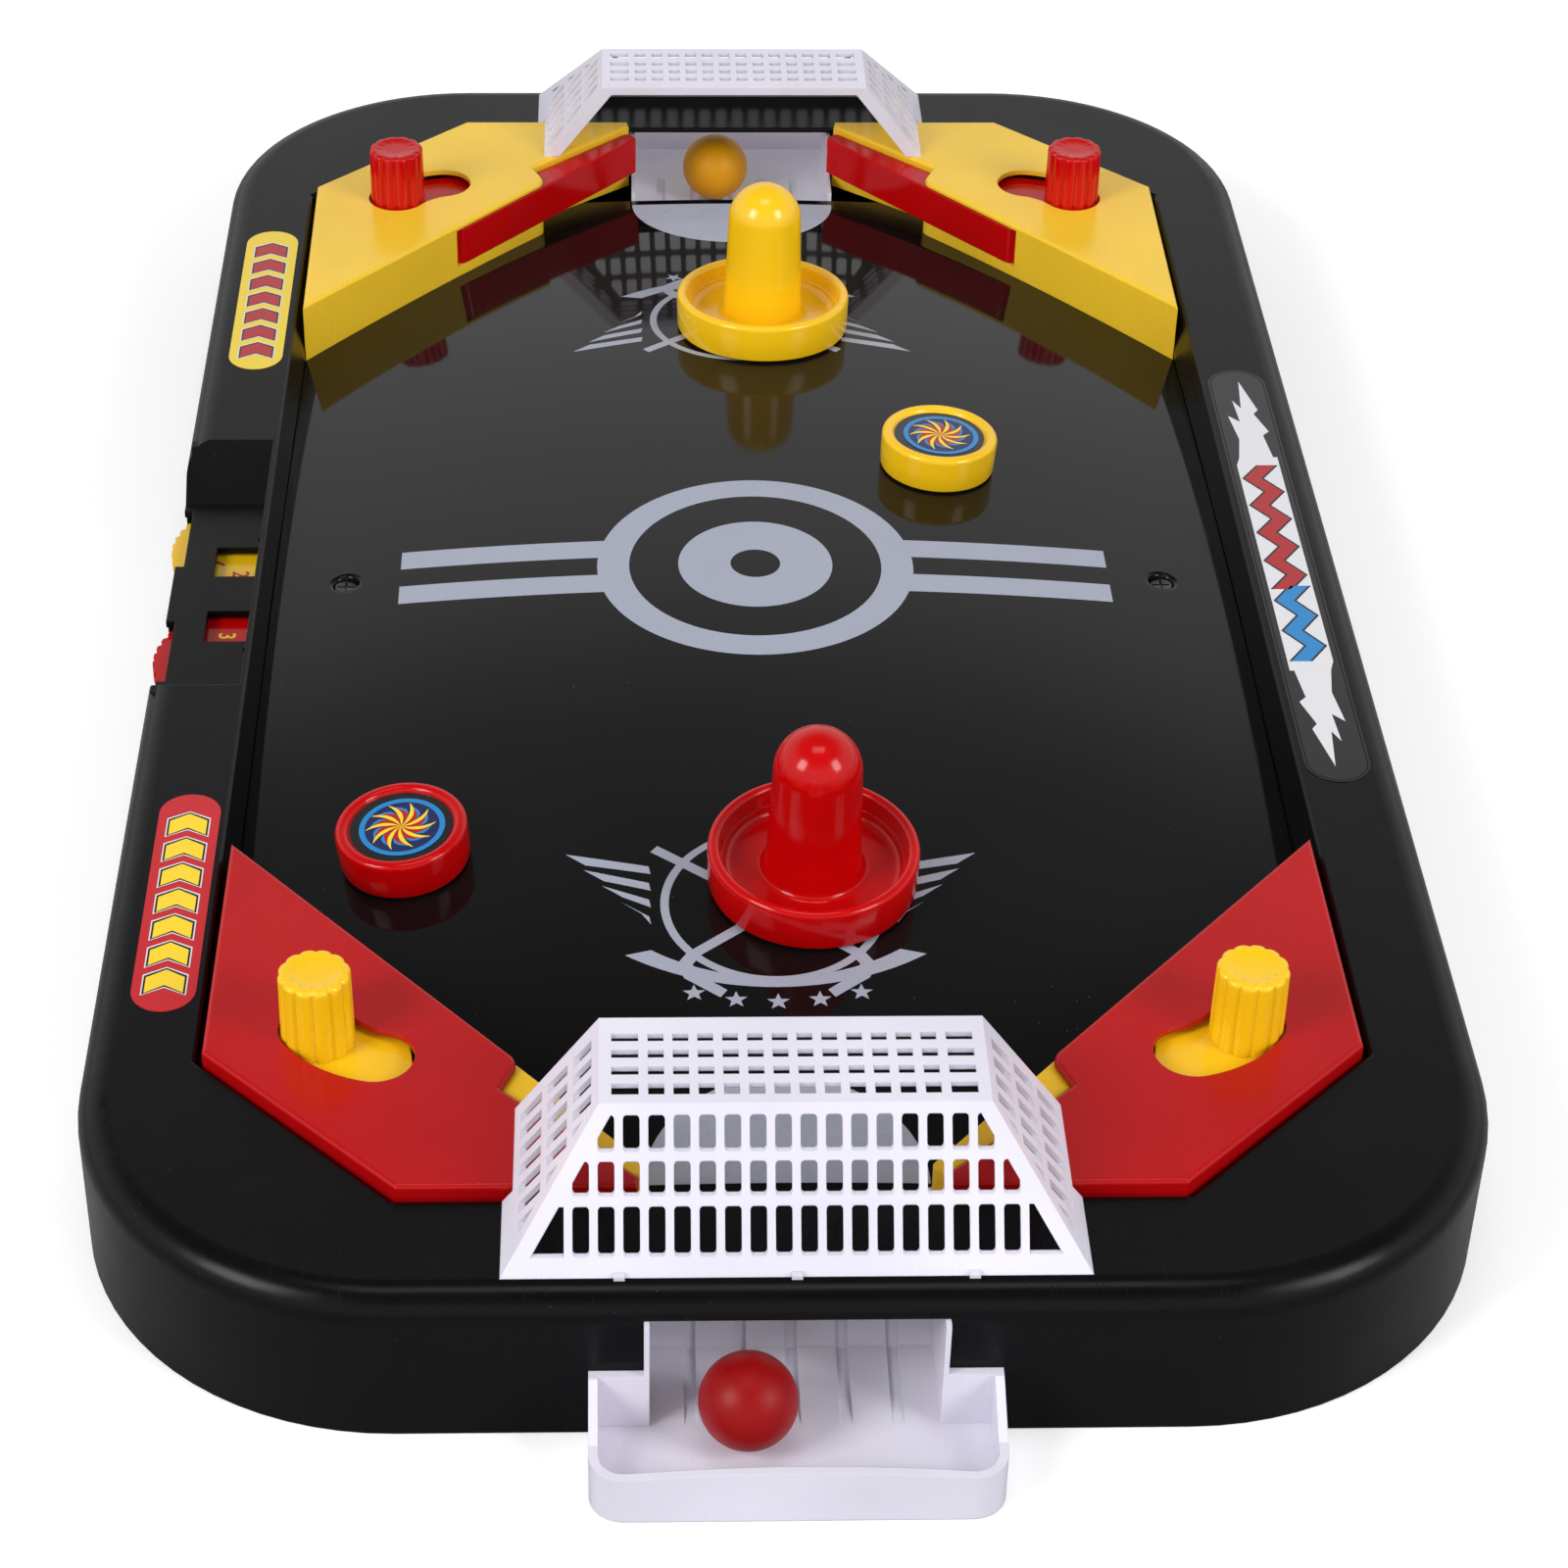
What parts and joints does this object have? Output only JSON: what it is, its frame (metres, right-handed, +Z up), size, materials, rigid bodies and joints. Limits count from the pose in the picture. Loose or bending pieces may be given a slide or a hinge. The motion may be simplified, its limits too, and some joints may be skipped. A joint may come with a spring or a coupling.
{
  "type": "air hockey table",
  "caption": "Table-top air hockey game with a crowned black playfield, corner flippers worked by knobs, goal nets, ball trays, score wheels, strikers, pucks and balls.",
  "frame": {"origin": "middle of the underside, on the surface that the game stands on", "axes": "+X to the right as seen by the red player, +Y along the game from the red end to the yellow end, +Z up"},
  "size_m": [0.2982, 0.578, 0.0727],
  "materials": {
    "black_shell": "satin injection-moulded black plastic",
    "black_gloss": "mirror-gloss black plastic with a white print",
    "red_plastic": "glossy moulded red plastic",
    "yellow_plastic": "glossy moulded yellow plastic",
    "white_plastic": "glossy moulded white plastic",
    "steel": "plated screws",
    "label": "printed self-adhesive film"
  },
  "bodies": {
    "table": {"top_frame": "black_shell", "base_cover": "black_shell", "playfield": "black_gloss", "playfield_screws": "steel", "base_screws": "steel", "housing_near_left": "red_plastic", "housing_near_right": "red_plastic", "housing_far_left": "yellow_plastic", "housing_far_right": "yellow_plastic", "flipper_screws": "steel", "goal_net_near": "white_plastic", "goal_net_far": "white_plastic", "ball_tray_near": "white_plastic", "ball_tray_far": "white_plastic", "score_wheel_screws": "steel", "sticker_score_red": "label", "sticker_score_yellow": "label", "sticker_side_flash": "label"},
    "flipper_near_left": {"flipper_near_left": "yellow_plastic", "knob_near_left": "yellow_plastic"},
    "flipper_near_right": {"flipper_near_right": "yellow_plastic", "knob_near_right": "yellow_plastic"},
    "flipper_far_left": {"flipper_far_left": "red_plastic", "knob_far_left": "red_plastic"},
    "flipper_far_right": {"flipper_far_right": "red_plastic", "knob_far_right": "red_plastic"},
    "score_wheel_red": {"score_wheel_red": "red_plastic"},
    "score_wheel_yellow": {"score_wheel_yellow": "yellow_plastic"},
    "striker_red": {"striker_red": "red_plastic"},
    "striker_yellow": {"striker_yellow": "yellow_plastic"},
    "puck_red": {"puck_red": "red_plastic", "puck_label_red": "label"},
    "puck_yellow": {"puck_yellow": "yellow_plastic", "puck_label_yellow": "label"},
    "ball_red": {"ball_red": "red_plastic"},
    "ball_yellow": {"ball_yellow": "yellow_plastic"}
  },
  "joints": [
    {"name": "flipper_near_left_swing", "type": "hinge", "parent": "table", "child": "flipper_near_left", "pos_m": [-0.08083, -0.17419, 0.032], "axis": [0, 0, 1], "range_deg": [0, 41]},
    {"name": "flipper_near_right_swing", "type": "hinge", "parent": "table", "child": "flipper_near_right", "pos_m": [0.08083, -0.17419, 0.032], "axis": [0, 0, -1], "range_deg": [0, 41]},
    {"name": "flipper_far_left_swing", "type": "hinge", "parent": "table", "child": "flipper_far_left", "pos_m": [-0.08083, 0.17419, 0.032], "axis": [0, 0, -1], "range_deg": [0, 41]},
    {"name": "flipper_far_right_swing", "type": "hinge", "parent": "table", "child": "flipper_far_right", "pos_m": [0.08083, 0.17419, 0.032], "axis": [0, 0, 1], "range_deg": [0, 41]},
    {"name": "score_wheel_red_turn", "type": "hinge", "parent": "table", "child": "score_wheel_red", "pos_m": [-0.1262, -0.025, 0.0208], "axis": [0, 0, 1], "continuous": true},
    {"name": "score_wheel_yellow_turn", "type": "hinge", "parent": "table", "child": "score_wheel_yellow", "pos_m": [-0.1262, 0.025, 0.0208], "axis": [0, 0, 1], "continuous": true},
    {"name": "striker_red_slide", "type": "slide", "parent": "table", "child": "striker_red", "axis": [0, 0.9979, 0.0654], "range_m": [-0.014, 0.075]},
    {"name": "striker_yellow_slide", "type": "slide", "parent": "table", "child": "striker_yellow", "axis": [0, 0.9977, -0.0672], "range_m": [-0.075, 0.013]},
    {"name": "puck_red_slide", "type": "slide", "parent": "table", "child": "puck_red", "axis": [0, 0.9983, 0.0585], "range_m": [-0.02, 0.05]},
    {"name": "puck_yellow_slide", "type": "slide", "parent": "table", "child": "puck_yellow", "axis": [0, 0.9997, -0.0261], "range_m": [-0.06, 0.06]},
    {"name": "ball_red_roll", "type": "slide", "parent": "table", "child": "ball_red", "axis": [1, 0, 0], "range_m": [-0.0085, 0.028]},
    {"name": "ball_yellow_roll", "type": "slide", "parent": "table", "child": "ball_yellow", "axis": [0, 1, 0], "range_m": [-0.005, 0.0195]}
  ]
}
